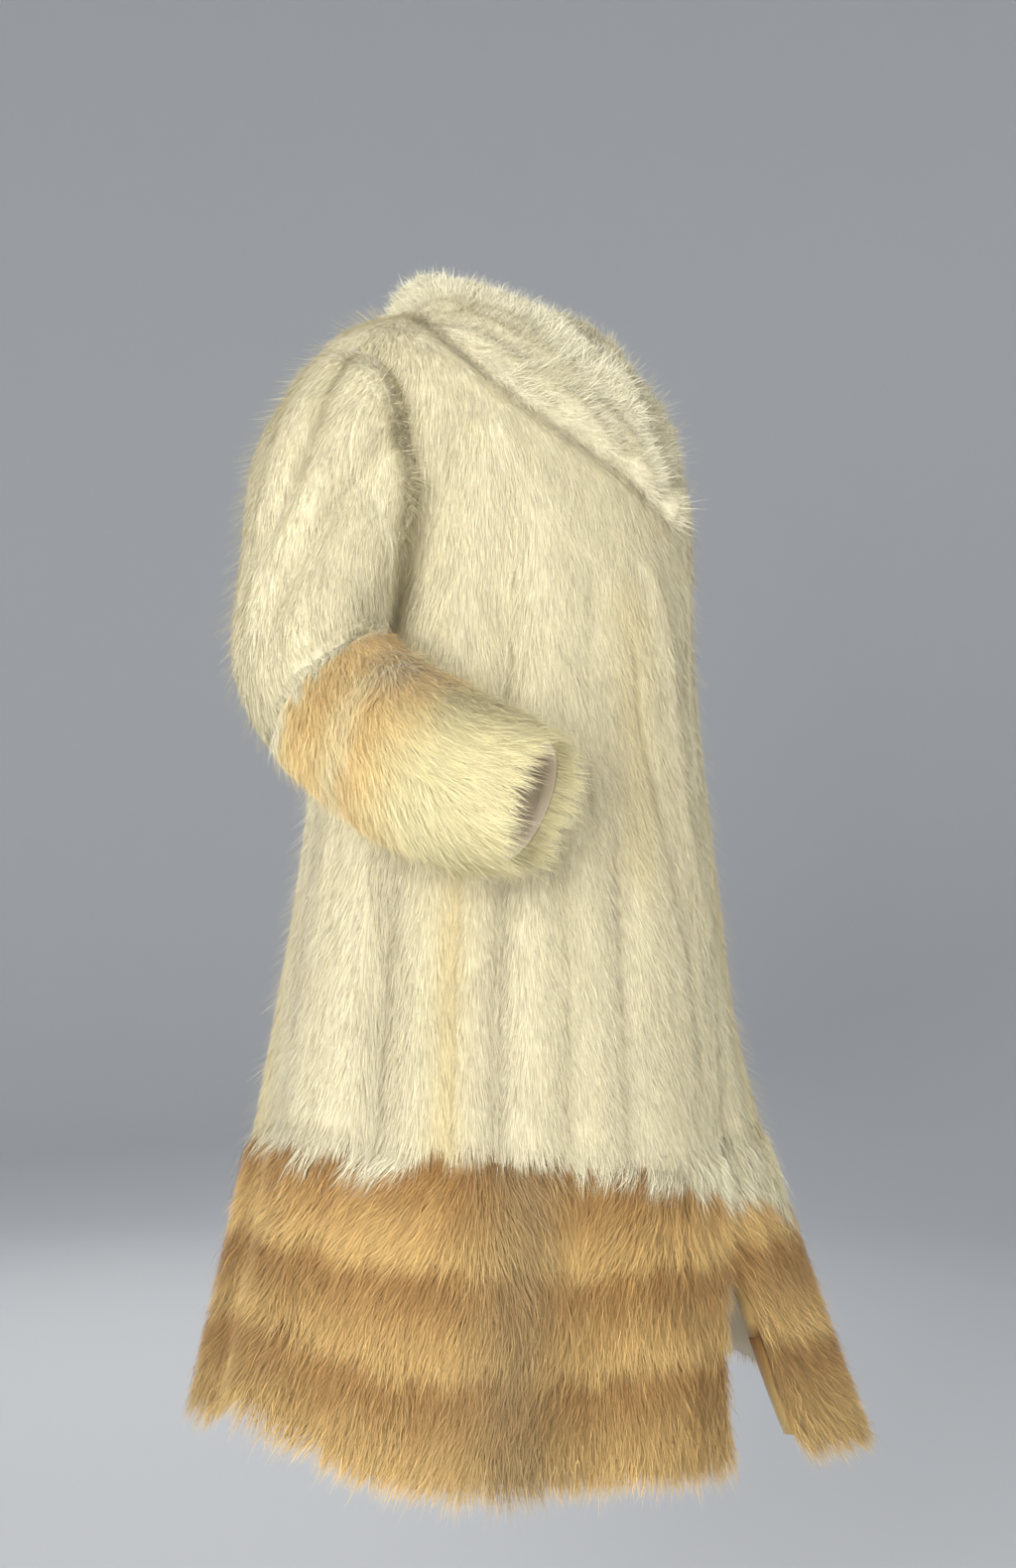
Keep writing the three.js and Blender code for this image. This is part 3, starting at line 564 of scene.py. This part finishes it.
# a principled material whose colour is an attribute of the mesh, times a fine noise
def hairMaterial(name, roughness, noiseScale, spread, bump):
    material = bpy.data.materials.new(name)
    material.use_nodes = True
    nodes, links = material.node_tree.nodes, material.node_tree.links
    shader = nodes["Principled BSDF"]
    shader.inputs["Roughness"].default_value = roughness
    shader.inputs["Specular IOR Level"].default_value = 0.35
    shader.inputs["Sheen Weight"].default_value = 0.25
    shader.inputs["Sheen Roughness"].default_value = 0.4
    colour = nodes.new("ShaderNodeAttribute")
    colour.attribute_name = "hairColour"
    place = nodes.new("ShaderNodeTexCoord")
    stretch = nodes.new("ShaderNodeMapping")
    stretch.inputs["Scale"].default_value = (1, 1, 0.12)  # streaks run down
    noise = nodes.new("ShaderNodeTexNoise")
    noise.inputs["Scale"].default_value = noiseScale
    noise.inputs["Detail"].default_value = 4
    tone = nodes.new("ShaderNodeMapRange")
    tone.inputs["To Min"].default_value = 1 - spread
    tone.inputs["To Max"].default_value = 1 + spread
    scaled = nodes.new("ShaderNodeVectorMath")
    scaled.operation = "SCALE"
    links.new(place.outputs["Object"], stretch.inputs["Vector"])
    links.new(stretch.outputs["Vector"], noise.inputs["Vector"])
    links.new(noise.outputs["Fac"], tone.inputs["Value"])
    links.new(colour.outputs["Color"], scaled.inputs[0])
    links.new(tone.outputs["Result"], scaled.inputs["Scale"])
    links.new(scaled.outputs["Vector"], shader.inputs["Base Color"])
    if bump:
        relief = nodes.new("ShaderNodeBump")
        relief.inputs["Strength"].default_value = 0.5
        relief.inputs["Distance"].default_value = bump
        links.new(noise.outputs["Fac"], relief.inputs["Height"])
        links.new(relief.outputs["Normal"], shader.inputs["Normal"])
    return material


# the leather side: a pale suede, blotched at two scales, with a fine nap in its relief
def suedeMaterial():
    material = bpy.data.materials.new("leatherSide")
    material.use_nodes = True
    nodes, links = material.node_tree.nodes, material.node_tree.links
    shader = nodes["Principled BSDF"]
    shader.inputs["Roughness"].default_value = 0.85
    shader.inputs["Specular IOR Level"].default_value = 0.2
    shader.inputs["Sheen Weight"].default_value = 0.4
    place = nodes.new("ShaderNodeTexCoord")
    blotch = nodes.new("ShaderNodeTexNoise")
    blotch.inputs["Scale"].default_value = 14
    blotch.inputs["Detail"].default_value = 6
    ramp = nodes.new("ShaderNodeValToRGB")
    ramp.color_ramp.elements[0].position = 0.35
    ramp.color_ramp.elements[0].color = (0.46, 0.37, 0.25, 1)
    ramp.color_ramp.elements[1].position = 0.7
    ramp.color_ramp.elements[1].color = (0.62, 0.53, 0.39, 1)
    grain = nodes.new("ShaderNodeTexNoise")
    grain.inputs["Scale"].default_value = 900
    relief = nodes.new("ShaderNodeBump")
    relief.inputs["Strength"].default_value = 0.4
    relief.inputs["Distance"].default_value = 0.0004
    links.new(place.outputs["Object"], blotch.inputs["Vector"])
    links.new(place.outputs["Object"], grain.inputs["Vector"])
    links.new(blotch.outputs["Fac"], ramp.inputs["Fac"])
    links.new(ramp.outputs["Color"], shader.inputs["Base Color"])
    links.new(grain.outputs["Fac"], relief.inputs["Height"])
    links.new(relief.outputs["Normal"], shader.inputs["Normal"])
    return material


underfur = hairMaterial("underfur", 0.9, 420, 0.16, 0.0012)
guardHair = hairMaterial("guardHair", 0.55, 90, 0.05, 0)
suede = suedeMaterial()


def meshFrom(name, points, corners, sides, colours, materials):
    mesh = bpy.data.meshes.new(name)
    mesh.vertices.add(len(points))
    mesh.vertices.foreach_set("co", (points / 1000).astype(np.float32).ravel())
    mesh.loops.add(corners.size)
    mesh.loops.foreach_set("vertex_index", corners.astype(np.int32).ravel())
    starts = np.concatenate([[0], np.cumsum(sides)[:-1]])
    mesh.polygons.add(len(sides))
    mesh.polygons.foreach_set("loop_start", starts.astype(np.int32))
    mesh.polygons.foreach_set("loop_total", sides.astype(np.int32))
    mesh.update(calc_edges=True)
    attribute = mesh.attributes.new("hairColour", "FLOAT_COLOR", "POINT")
    rgba = np.ones((len(points), 4), np.float32)
    rgba[:, :3] = colours
    attribute.data.foreach_set("color", rgba.ravel())
    for material in materials:
        mesh.materials.append(material)
    thing = bpy.data.objects.new(name, mesh)
    bpy.context.scene.collection.objects.link(thing)
    return thing


# a thin closed shell on a grid: the outside at the underfur's share of the hair's height, the inside
# at the leather's thickness behind it, and strips of quads round the rim
def skinOf(name, grid, rootColour, seat):
    point, normal = grid["point"], grid["normal"]
    share = np.full(grid["height"].shape, seat)
    share[[0, -1]] *= coat["rimShare"]  # rounded at both ends
    if grid["closed"]:
        share[-1] *= coat["sleeveRimShare"]
    outside = point + normal * (share * grid["height"])[..., None]
    inside = point - normal * coat["leather"]
    rows, columns = point.shape[:2]
    if grid["closed"]:
        outside, inside, rootColour, columns = outside[:, :-1], inside[:, :-1], rootColour[:, :-1], columns - 1
    index = np.arange(rows * columns).reshape(rows, columns)
    beside = np.roll(index, -1, 1) if grid["closed"] else index[:, 1:]
    here = index if grid["closed"] else index[:, :-1]
    quads = np.stack([here[:-1], beside[:-1], beside[1:], here[1:]], -1).reshape(-1, 4)
    if (np.cross(outside[0, 1] - outside[0, 0], outside[1, 0] - outside[0, 0]) * normal[0, 0]).sum() < 0:
        quads = quads[:, ::-1]
    count = rows * columns
    faces = [quads, quads[:, ::-1] + count]
    edges = np.concatenate([quads[:, [0, 1]], quads[:, [1, 2]], quads[:, [2, 3]], quads[:, [3, 0]]])
    keys = edges[:, 0].astype(np.int64) * count + edges[:, 1]
    back = edges[:, 1].astype(np.int64) * count + edges[:, 0]
    rim = edges[~np.isin(keys, back)]
    faces.append(np.stack([rim[:, 1], rim[:, 0], rim[:, 0] + count, rim[:, 1] + count], -1))
    corners = np.concatenate(faces)
    points = np.concatenate([outside.reshape(-1, 3), inside.reshape(-1, 3)])
    colours = np.concatenate([rootColour.reshape(-1, 3)] * 2)
    skin = meshFrom(name, points, corners, np.full(len(corners), 4), colours, [underfur, suede])
    slots = np.zeros(len(corners), np.int32)
    slots[len(quads) : None if grid["closed"] else 2 * len(quads)] = 1  # a sleeve's rim is leather too
    skin.data.polygons.foreach_set("material_index", slots)
    skin.data.polygons.foreach_set("use_smooth", np.ones(len(corners), bool))
    return skin


# what all hair shares: how far from a lower edge and from a side it changes, how wide the pelts are, how
# many rows the table of random values has, and the swirl in degrees at the sides and in the border
growth = {"edgeReach": 14, "sideReach": 16, "peltWidth": 47, "randomRows": 8192,
          "sideSwirl": 14, "borderSwirl": 240, "borderTufts": 50}


# hair on a grid. Roots fall at random by area. A hair is one long thin triangle, or for the bent
# share of them a strip of two steps and three triangles, whose middle bows up. Its tip lies along
# the nap, turned by the panel's slant, its lock's swirl and its own, at a share of the hair's
# height. Tips draw towards the middle of their lock, and of their tuft near a lower edge, where
# lengths differ more and the curl turns them in over the rim
def furOf(name, grid, colours, hair, seed):
    rng = np.random.default_rng(seed)
    point = grid["point"]
    rows, columns = point.shape[:2]
    diagonal = np.cross(point[1:, 1:] - point[:-1, :-1], point[1:, :-1] - point[:-1, 1:])
    area = np.linalg.norm(diagonal, axis=-1) / 2
    weight = (area * hair["where"](grid)[:-1, :-1]).ravel()
    count = int(weight.sum() * hair["density"])
    cell = np.searchsorted(np.cumsum(weight) / weight.sum(), rng.random(count))
    cell = np.minimum(cell, weight.size - 1)
    r, c = cell // (columns - 1), cell % (columns - 1)
    u, v = rng.random(count), rng.random(count)

    def at(field, r=r, u=u):
        field = field if field.ndim == 3 else field[..., None]
        a = field[r, c] * (1 - v)[:, None] + field[r, c + 1] * v[:, None]
        b = field[r + 1, c] * (1 - v)[:, None] + field[r + 1, c + 1] * v[:, None]
        return a * (1 - u)[:, None] + b * u[:, None]

    base, normal, down = at(point), unit(at(grid["normal"])), unit(at(grid["down"]))
    across = unit(np.cross(normal, down))
    height = at(grid["height"])[:, 0]
    rand = lambda: rng.random(count)

    # a jittered grid of cells of a given size: which cell's random row a hair has, and how far it is
    # from the cell's middle line
    wide = np.linalg.norm(np.diff(point, axis=1), axis=-1).sum(1).mean()
    long = np.linalg.norm(np.diff(point, axis=0), axis=-1).sum(0).mean()
    a = (c + v) / (columns - 1) * wide
    b = (r + u) / (rows - 1) * long
    table = rng.random((growth["randomRows"], 6))

    def cells(width, length):
        j = np.floor(b / length + 2 * table[np.floor(a / width).astype(int) % len(table), 5]).astype(int)
        place = a / width + table[j % len(table), 4]
        i = np.floor(place).astype(int)
        return table[(i * 7349 + j * 1913) % len(table)], (i + 0.5 - place) * width

    lock, drawn = cells(hair["lockWidth"], hair["lockLength"])
    tuft, tuftDrawn = cells(hair["tuftWidth"], hair["tuftWidth"] * 2.5)
    fromEdge = b if grid["nap"] == 0 else long - b
    nearEdge = np.exp(-fromEdge / growth["edgeReach"]) * hair["fringe"]
    inside = 1 if grid["closed"] else np.clip(np.minimum(a, wide - a) / growth["sideReach"], 0, 1)
    fluffy = at(grid["border"])[:, 0] if "border" in grid else 0
    drawn = (drawn * hair["draw"] + tuftDrawn * (0.06 + 0.5 * nearEdge)) * inside
    ownPelt = table[np.floor(a / growth["peltWidth"] + 0.3).astype(int) % len(table), 3]

    broad = np.sin(a / 31 + 2 * np.sin(b / 67 + seed)) * np.sin(b / 43 + seed * 1.7)
    swirl = hair["slant"](at(grid["angle"])[:, 0], at(grid["up"])[:, 0]) + hair["swirl"] * (
        broad + 0.4 * (lock[:, 0] - 0.5) + 0.6 * (tuft[:, 0] - 0.5) + 1.4 * (rand() - 0.5)
    )
    swirl = swirl + (growth["sideSwirl"] * (1 - inside) + growth["borderSwirl"] * fluffy) * (rand() - 0.5)
    swirl = np.radians(swirl + growth["borderTufts"] * fluffy * (tuft[:, 1] - 0.5))
    lie = down * np.cos(swirl)[:, None] + across * np.sin(swirl)[:, None]
    stray = rand() < hair["stray"]
    # the length, then the rise, as shares of their full sizes by the lock, the tuft and the hair
    length = hair["length"] * (0.72 + 0.2 * lock[:, 1] + 0.2 * tuft[:, 1] + 0.25 * rand())
    uneven = 0.6 * tuft[:, 2] + 0.5 * ownPelt + rand() - 0.7
    length = length * np.where(stray, 1.3, 1) * (1 + nearEdge * uneven)
    length = length * (0.45 + 0.55 * np.clip(height / hair["pile"], 0, 1)) * (1 - 0.25 * fluffy)
    rise = height * (0.94 + 0.06 * lock[:, 2] + 0.08 * tuft[:, 3] + 0.16 * rand())
    rise = rise + (stray * hair["fly"] + 2 * fluffy) * rand() - hair["curl"] * nearEdge * rand()
    root = base + normal * ((hair["seat"] - 0.1) * height)[:, None]
    tip = base + normal * rise[:, None] + lie * length[:, None] + across * drawn[:, None]
    tip[:, 2] -= hair["sag"] * rand()
    mid = (root + tip) / 2 + normal * (hair["bow"] * height * (0.6 + 0.8 * rand()))[:, None]
    mid = mid - across * (0.2 * drawn)[:, None]

    facing = unit(np.cross(tip - root, normal))
    lean = np.radians(hair["lean"] * (rand() - 0.5))
    facing = facing * np.cos(lean)[:, None] + normal * np.sin(lean)[:, None]
    half = facing * (hair["width"] / 2 * (0.7 + 0.6 * rand()) * np.where(stray, 0.85, 1))[:, None]
    tone = 1 + hair["tone"] * (lock[:, 3] - 0.5) + 0.08 * (tuft[:, 4] - 0.5) + hair["grain"] * (rand() - 0.5)
    # painted glint: a fifth of the hairs have brighter tips
    paintedGlint = 1 + hair["paintedGlint"] * (rand() < 0.2)
    place = r + u + (tuft[:, 5] - 0.5) * hair["jag"] * (rows - 1) / long  # the root whose colour it takes
    place = np.clip(place, 0, rows - 1.001)
    shades = [at(shade, place.astype(int), place % 1) for shade in colours]
    if len(colours) == 4:  # by tufts
        other = at(grid["excess"]) + (tuft[:, 5:] - 0.5) * hair["jag"] > 0
        shades = [np.where(other, shades[2], shades[0]), np.where(other, shades[3], shades[1])]
    # the roots carry the painted shade of the pile
    dark, light = shades[0] * tone[:, None], shades[1] * (tone * paintedGlint)[:, None]
    bent = rand() < hair["bent"]
    straight = ~bent
    plainPoints = np.stack([root - half, root + half, tip], 1)[straight]
    plainColours = np.stack([dark, dark, light], 1)[straight]
    bowedPoints = np.stack([root - half, root + half, mid + half * 0.85, mid - half * 0.85, tip], 1)[bent]
    bowedColours = np.stack([dark, dark, (dark + light) / 2, (dark + light) / 2, light], 1)[bent]
    plainCorners = np.arange(straight.sum() * 3)
    first = np.arange(bent.sum())[:, None] * 5 + plainCorners.size
    bowedCorners = first + [0, 1, 2, 0, 2, 3, 3, 2, 4]
    points = np.concatenate([plainPoints.reshape(-1, 3), bowedPoints.reshape(-1, 3)])
    tints = np.concatenate([plainColours.reshape(-1, 3), bowedColours.reshape(-1, 3)])
    corners = np.concatenate([plainCorners, bowedCorners.ravel()])
    triangles = corners.size // 3
    fur = meshFrom(name, points, corners, np.full(triangles, 3), np.clip(tints, 0, 1), [guardHair])
    return fur, triangles


everywhere = lambda grid: np.ones(grid["up"].shape)
straightDown = lambda angle, up: 0 * angle


def showing(grid):  # the left front grows no hair where the right one covers it
    return (grid["point"][..., 0] > readTable(body, "rightEdge", grid["up"]) - 16) * 1.0


def bandSlant(angle, up):  # towards the back all round, and straight down in the darker strips
    turned = degreesApart(angle, 0)
    calm = bell(turned + 53, 7) + bell(degreesApart(turned, 178), 8) + bell(turned, 10)
    return 20 * np.sign(turned) * (1 - np.clip(calm, 0, 1))


# lengths in mm, angles in degrees, density in hairs for each square mm, the rest in shares
bodyHair = {"length": 14, "pile": 12, "seat": 0.8, "width": 0.58, "density": 0.52, "bent": 0, "lockWidth": 1.6,
            "lockLength": 12, "draw": 0.18, "tuftWidth": 13, "fringe": 1, "swirl": 9, "stray": 0.08, "fly": 17,
            "bow": 0.1, "sag": 1, "tone": 0.1, "grain": 0.34, "paintedGlint": 0.16, "lean": 64, "jag": 12,
            "curl": 0, "where": everywhere, "slant": straightDown}
bandHair = {**bodyHair, "length": 23, "pile": 16, "seat": 0.58, "width": 0.6, "density": 0.53, "bent": 0.15,
            "lockWidth": 2, "lockLength": 18, "draw": 0.2, "swirl": 24, "stray": 0.09, "fly": 9,
            "paintedGlint": 0.5, "lean": 70, "slant": bandSlant, "sag": 3, "bow": 0.22, "fringe": 0.35, "jag": 16}
sleeveHair = {**bodyHair, "pile": 11, "swirl": 11, "fringe": 1.1, "curl": 2}
cuffHair = {**bodyHair, "length": 16, "pile": 13, "seat": 0.5, "width": 0.5, "density": 0.8, "swirl": 22,
            "stray": 0.16, "fly": 10, "bent": 0.15, "bow": 0.2, "fringe": 1, "tone": 0.08, "paintedGlint": 0.25,
            "draw": 0.1, "curl": 6}
collarHair = {**bodyHair, "length": 12, "pile": 16, "seat": 0.62, "density": 1.3, "width": 0.6,
              "swirl": 110, "lockWidth": 4, "lockLength": 6, "draw": 0.12, "bow": 0.25, "bent": 0.25,
              "stray": 0.16, "fly": 10, "fringe": 0}
closeness = {"right": 1.47, "left": 0.88, "back": 0.68}  # closer where it is seen from nearby

pelts = []  # name, grid, kind of colour, hair, slot
for low, high, band in [(-9, -6, "hem_lower"), (-6, -3, "hem_middle"), (-3, 0, "hem_upper")]:
    for kind, hand, side in [("front", -1, "right"), ("back", 0, "back"), ("front", 1, "left")]:
        pelts.append((side + "_" + band, panelGrid(kind, hand, low, high), "band", bandHair, "tan_fur"))
pelts.append(("right_front", panelGrid("front", -1, 0, 23, 4), "panel", bodyHair, "cream_fur"))
pelts.append(("back", panelGrid("back", 0, 0, 23), "panel", bodyHair, "cream_fur"))
pelts.append(("left_front", panelGrid("front", 1, 0, 23), "panel", {**bodyHair, "where": showing}, "cream_fur"))
for side, table in (("right", bentSleeve), ("left", hangingSleeve)):
    start = 0
    for name, end in sleeveEnds.items():
        kind = "sleeve" if name == "sleeve" else "forearm"
        hair = sleeveHair if name == "sleeve" else cuffHair
        slotName = "tan_fur" if "tan" in name else "cream_fur"
        finer = 4 if side + name == "rightsleeve" else 2
        pelts.append((side + "_" + name, sleeveGrid(table, start, end, finer), kind, hair, slotName))
        start = end
for name, first, last in [("collar_right", 1, 20), ("collar_back", 20, 54), ("collar_left", 54, 72)]:
    pelts.append((name, collarGrid(first, last), "collar", collarHair, "collar_fur"))

total = 0
for seed, (name, grid, kind, hair, slotName) in enumerate(pelts):
    if kind == "panel":
        grid["border"] = borderShare(grid) * (name != "back")
        x, y, z = np.moveaxis(grid["point"], -1, 0)
        lumps = 0.3 * np.sin(x / 7 + z / 11) * np.sin(y / 9 - z / 6 + 1) + 0.15 * np.sin(x / 4 + y / 5)
        grid["thin"] = 1 + grid["border"] * (0.75 + 1.4 * lumps)
    finishGrid(grid, hair["pile"])
    crease(grid, name)
    finishGrid(grid, hair["pile"])
    colours = paint(kind, grid)
    # the skin's outside takes the roots' colour, with its painted shade
    rootColour = colours[0]
    if len(colours) == 4:
        rootColour = mix(colours[0], colours[2], ease(grid["excess"] / 10 + 0.5))
    hair = {**hair, "density": hair["density"] * closeness.get(name.split("_")[0], 1)}
    skin = skinOf(name + "_skin", grid, rootColour, hair["seat"])
    fur, triangles = furOf(name + "_hair", grid, colours, hair, seed + 11)
    total += triangles
    for piece in (skin, fur):
        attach(piece, "root")
    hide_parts(name)
print("hair triangles in all", total)

studio = {"floor": -1.42, "flat": 3.2, "curve": 1.8, "top": 6, "around": 96, "shade": (0.58, 0.59, 0.6)}

# a round sweep: a flat floor that turns up through a quarter circle into a wall, turned about Z
turn = np.linspace(0, 2 * np.pi, studio["around"] + 1)[:-1]
quarter = np.linspace(0, np.pi / 2, 17)
wall = studio["flat"] + studio["curve"]
radius = np.concatenate([[0.02, 1.5], studio["flat"] + studio["curve"] * np.sin(quarter), [wall]])[:, None]
height = np.concatenate([[0, 0], studio["curve"] * (1 - np.cos(quarter)), [studio["top"]]]) + studio["floor"]
ring = np.stack(np.broadcast_arrays(radius * np.cos(turn), radius * np.sin(turn), height[:, None]), -1)
index = np.arange(ring.shape[0] * studio["around"]).reshape(-1, studio["around"])
beside = np.roll(index, -1, 1)
quads = np.stack([index[:-1], beside[:-1], beside[1:], index[1:]], -1).reshape(-1, 4)
sweepMesh = bpy.data.meshes.new("sweep")
sweepMesh.from_pydata(ring.reshape(-1, 3).tolist(), [], quads.tolist() + [index[0][::-1].tolist()])
sweepMesh.polygons.foreach_set("use_smooth", np.ones(len(sweepMesh.polygons), bool))
sweep = bpy.data.objects.new("sweep", sweepMesh)
bpy.context.scene.collection.objects.link(sweep)
paper = bpy.data.materials.new("paper")
paper.use_nodes = True
paper.node_tree.nodes["Principled BSDF"].inputs["Base Color"].default_value = (*studio["shade"], 1)
paper.node_tree.nodes["Principled BSDF"].inputs["Roughness"].default_value = 0.95
sweepMesh.materials.append(paper)

# the camera: where it stands in degrees and metres, and in the picture's pixels its focal length, the
# picture's size, and where its axis meets the picture
view = {"azimuth": -60, "distance": 1.8, "height": -0.3975, "focal": 2083, "wide": 1024, "tall": 1580,
        "across": 503, "down": 800}
towards = Vector((math.sin(math.radians(view["azimuth"])), -math.cos(math.radians(view["azimuth"])), 0))
camera = bpy.data.objects.new("camera", bpy.data.cameras.new("camera"))
bpy.context.scene.collection.objects.link(camera)
camera.location = towards * view["distance"] + Vector((0, 0, view["height"]))
camera.rotation_euler = (math.radians(90), 0, math.radians(view["azimuth"]))
camera.data.lens = view["focal"] * camera.data.sensor_width / view["tall"]
camera.data.shift_x = (view["wide"] / 2 - view["across"]) / view["tall"]
camera.data.shift_y = (view["down"] - view["tall"] / 2) / view["tall"]
bpy.context.scene.camera = camera

# soft lights: azimuth and elevation as seen from the coat, distance, size and power
lamps = {
    "key": {"azimuth": -80, "elevation": 12, "distance": 3.1, "size": 1.3, "power": 108},
    "fill": {"azimuth": -12, "elevation": 4, "distance": 2.8, "size": 2.0, "power": 36},
    "rim": {"azimuth": 140, "elevation": 30, "distance": 2.9, "size": 2.4, "power": 40},
}
aim = Vector((0, 0, -0.62))
for name, lamp in lamps.items():
    light = bpy.data.lights.new(name, "AREA")
    light.size = lamp["size"]
    light.energy = lamp["power"]
    thing = bpy.data.objects.new(name, light)
    bpy.context.scene.collection.objects.link(thing)
    a, e = math.radians(lamp["azimuth"]), math.radians(lamp["elevation"])
    away = Vector((math.sin(a) * math.cos(e), -math.cos(a) * math.cos(e), math.sin(e)))
    thing.location = aim + away * lamp["distance"]
    thing.rotation_euler = away.to_track_quat("Z", "Y").to_euler()
world = bpy.data.worlds.new("world")
world.use_nodes = True
world.node_tree.nodes["Background"].inputs["Color"].default_value = (0.9, 0.93, 1, 1)
world.node_tree.nodes["Background"].inputs["Strength"].default_value = 0.44
bpy.context.scene.world = world
bpy.context.scene.view_settings.view_transform = "Standard"
print("room, light and camera made")
